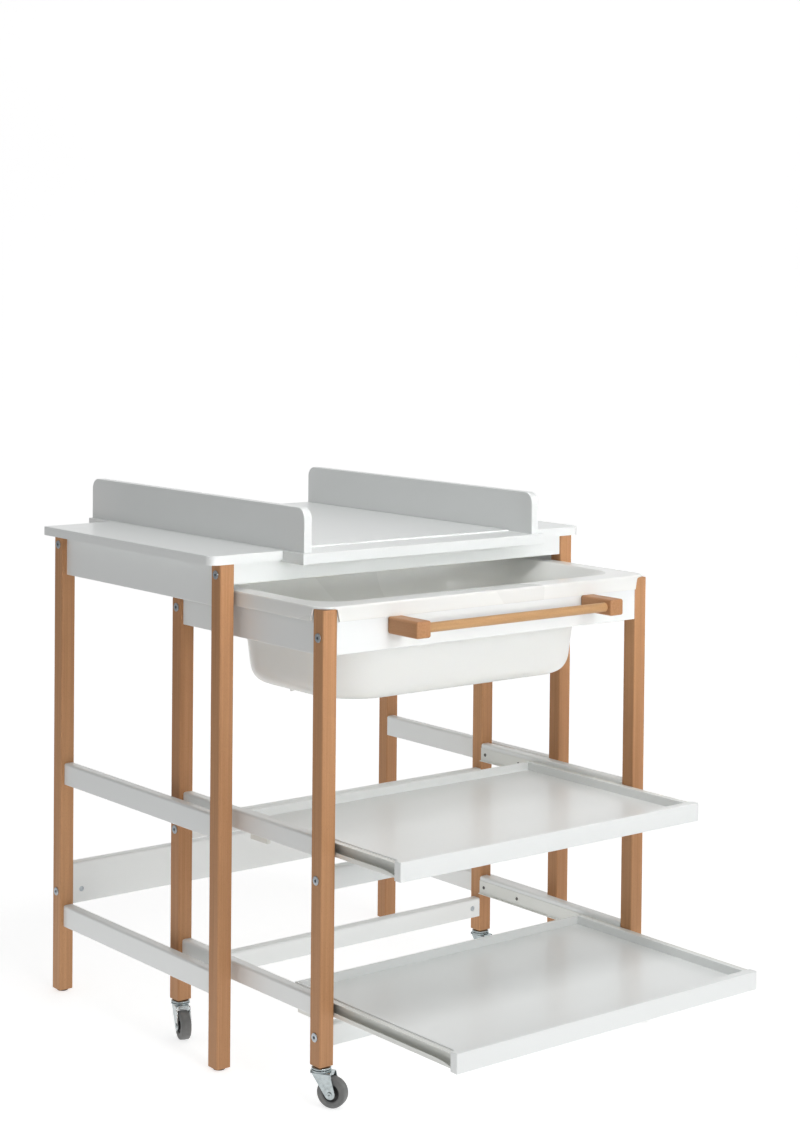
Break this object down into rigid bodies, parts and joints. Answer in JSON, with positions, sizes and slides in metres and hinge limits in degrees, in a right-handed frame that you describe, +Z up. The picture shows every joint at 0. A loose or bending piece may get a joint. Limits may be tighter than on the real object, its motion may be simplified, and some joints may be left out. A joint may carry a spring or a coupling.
{
  "type": "changing table with bathtub trolley",
  "caption": "Wooden baby changing table with a bathtub trolley on casters that rolls out from under it, with a bar handle and pull-out trays.",
  "frame": {"origin": "middle of the footprint at floor level, with the trolley and trays pulled out as pictured", "axes": "+Z up, front faces -Y, +X to the right seen from the front"},
  "size_m": [0.84, 1.178, 0.944],
  "materials": {
    "beech": "solid beech, clear satin varnish",
    "white_lacquer": "satin white lacquer on board",
    "tub_plastic": "glossy milky white polypropylene",
    "runner_enamel": "white epoxy enamel on sheet steel",
    "zinc_hardware": "bright zinc-plated steel",
    "caster_steel": "chromed pressed steel",
    "grey_tyre": "mid-grey rubber tread on a black plastic hub",
    "dark_glide": "dark plastic glide"
  },
  "bodies": {
    "table": {"table_leg_front_left": "beech", "table_leg_front_right": "beech", "table_leg_rear_left": "beech", "table_leg_rear_right": "beech", "leg_glides": "dark_glide", "table_side_panel_left": "white_lacquer", "table_side_panel_right": "white_lacquer", "table_side_rail_upper_left": "white_lacquer", "table_side_rail_upper_right": "white_lacquer", "table_side_rail_lower_left": "white_lacquer", "table_side_rail_lower_right": "white_lacquer", "apron_front": "white_lacquer", "apron_rear": "white_lacquer", "back_rail": "white_lacquer", "top_board_left": "white_lacquer", "top_board_right": "white_lacquer", "changing_base": "white_lacquer", "changing_side_left": "white_lacquer", "changing_side_right": "white_lacquer", "changing_liner": "white_lacquer", "table_bolts": "zinc_hardware", "table_barrel_nuts": "zinc_hardware"},
    "trolley": {"trolley_leg_front_left": "beech", "trolley_leg_front_right": "beech", "trolley_leg_rear_left": "beech", "trolley_leg_rear_right": "beech", "trolley_side_panel_left": "white_lacquer", "trolley_side_panel_right": "white_lacquer", "trolley_front_panel": "white_lacquer", "trolley_rear_panel": "white_lacquer", "trolley_side_rail_upper_left": "white_lacquer", "trolley_side_rail_upper_right": "white_lacquer", "trolley_side_rail_lower_left": "white_lacquer", "trolley_side_rail_lower_right": "white_lacquer", "cross_rail_front_upper": "white_lacquer", "cross_rail_front_lower": "white_lacquer", "cross_rail_rear_upper": "white_lacquer", "cross_rail_rear_lower": "white_lacquer", "trolley_bolts": "zinc_hardware", "trolley_barrel_nuts": "zinc_hardware", "handle_blocks": "beech", "handle_bar": "beech", "trolley_runners": "runner_enamel", "trolley_screws": "zinc_hardware"},
    "upper_tray": {"tray_front_upper": "white_lacquer", "tray_body_upper": "white_lacquer", "tray_runners_upper": "runner_enamel"},
    "lower_tray": {"tray_front_lower": "white_lacquer", "tray_body_lower": "white_lacquer", "tray_runners_lower": "runner_enamel"},
    "tub": {"bathtub": "tub_plastic"},
    "plug": {"drain_plug": "tub_plastic"},
    "caster_front_left": {"caster_frame_front_left": "caster_steel"},
    "wheel_front_left": {"caster_wheel_front_left": "grey_tyre"},
    "caster_front_right": {"caster_frame_front_right": "caster_steel"},
    "wheel_front_right": {"caster_wheel_front_right": "grey_tyre"},
    "caster_rear_left": {"caster_frame_rear_left": "caster_steel"},
    "wheel_rear_left": {"caster_wheel_rear_left": "grey_tyre"},
    "caster_rear_right": {"caster_frame_rear_right": "caster_steel"},
    "wheel_rear_right": {"caster_wheel_rear_right": "grey_tyre"}
  },
  "joints": [
    {"name": "trolley_roll", "type": "slide", "parent": "table", "child": "trolley", "axis": [0, 1, 0], "range_m": [-0.45, 0.3]},
    {"name": "upper_tray_slide", "type": "slide", "parent": "trolley", "child": "upper_tray", "axis": [0, 1, 0], "range_m": [-0.156, 0.164]},
    {"name": "lower_tray_slide", "type": "slide", "parent": "trolley", "child": "lower_tray", "axis": [0, 1, 0], "range_m": [-0.017, 0.303]},
    {"name": "tub_lift", "type": "slide", "parent": "trolley", "child": "tub", "axis": [0, 0, 1], "range_m": [0, 0.008]},
    {"name": "plug_pull", "type": "slide", "parent": "tub", "child": "plug", "axis": [0, 0, 1], "range_m": [0, 0.05]},
    {"name": "swivel_front_left", "type": "hinge", "parent": "trolley", "child": "caster_front_left", "pos_m": [-0.348, -0.272, 0.0665], "axis": [0, 0, 1], "continuous": true},
    {"name": "spin_front_left", "type": "hinge", "parent": "caster_front_left", "child": "wheel_front_left", "pos_m": [-0.3383, -0.28949, 0.025], "axis": [0.8746, 0.4848, 0], "continuous": true},
    {"name": "swivel_front_right", "type": "hinge", "parent": "trolley", "child": "caster_front_right", "pos_m": [0.348, -0.272, 0.0665], "axis": [0, 0, 1], "continuous": true},
    {"name": "spin_front_right", "type": "hinge", "parent": "caster_front_right", "child": "wheel_front_right", "pos_m": [0.35216, -0.29156, 0.025], "axis": [0.9781, 0.2079, 0], "continuous": true},
    {"name": "swivel_rear_left", "type": "hinge", "parent": "trolley", "child": "caster_rear_left", "pos_m": [-0.348, 0.142, 0.0665], "axis": [0, 0, 1], "continuous": true},
    {"name": "spin_rear_left", "type": "hinge", "parent": "caster_rear_left", "child": "wheel_rear_left", "pos_m": [-0.35418, 0.12298, 0.025], "axis": [0.9511, -0.309, 0], "continuous": true},
    {"name": "swivel_rear_right", "type": "hinge", "parent": "trolley", "child": "caster_rear_right", "pos_m": [0.348, 0.142, 0.0665], "axis": [0, 0, 1], "continuous": true},
    {"name": "spin_rear_right", "type": "hinge", "parent": "caster_rear_right", "child": "wheel_rear_right", "pos_m": [0.35009, 0.12211, 0.025], "axis": [0.9945, 0.1045, 0], "continuous": true}
  ]
}
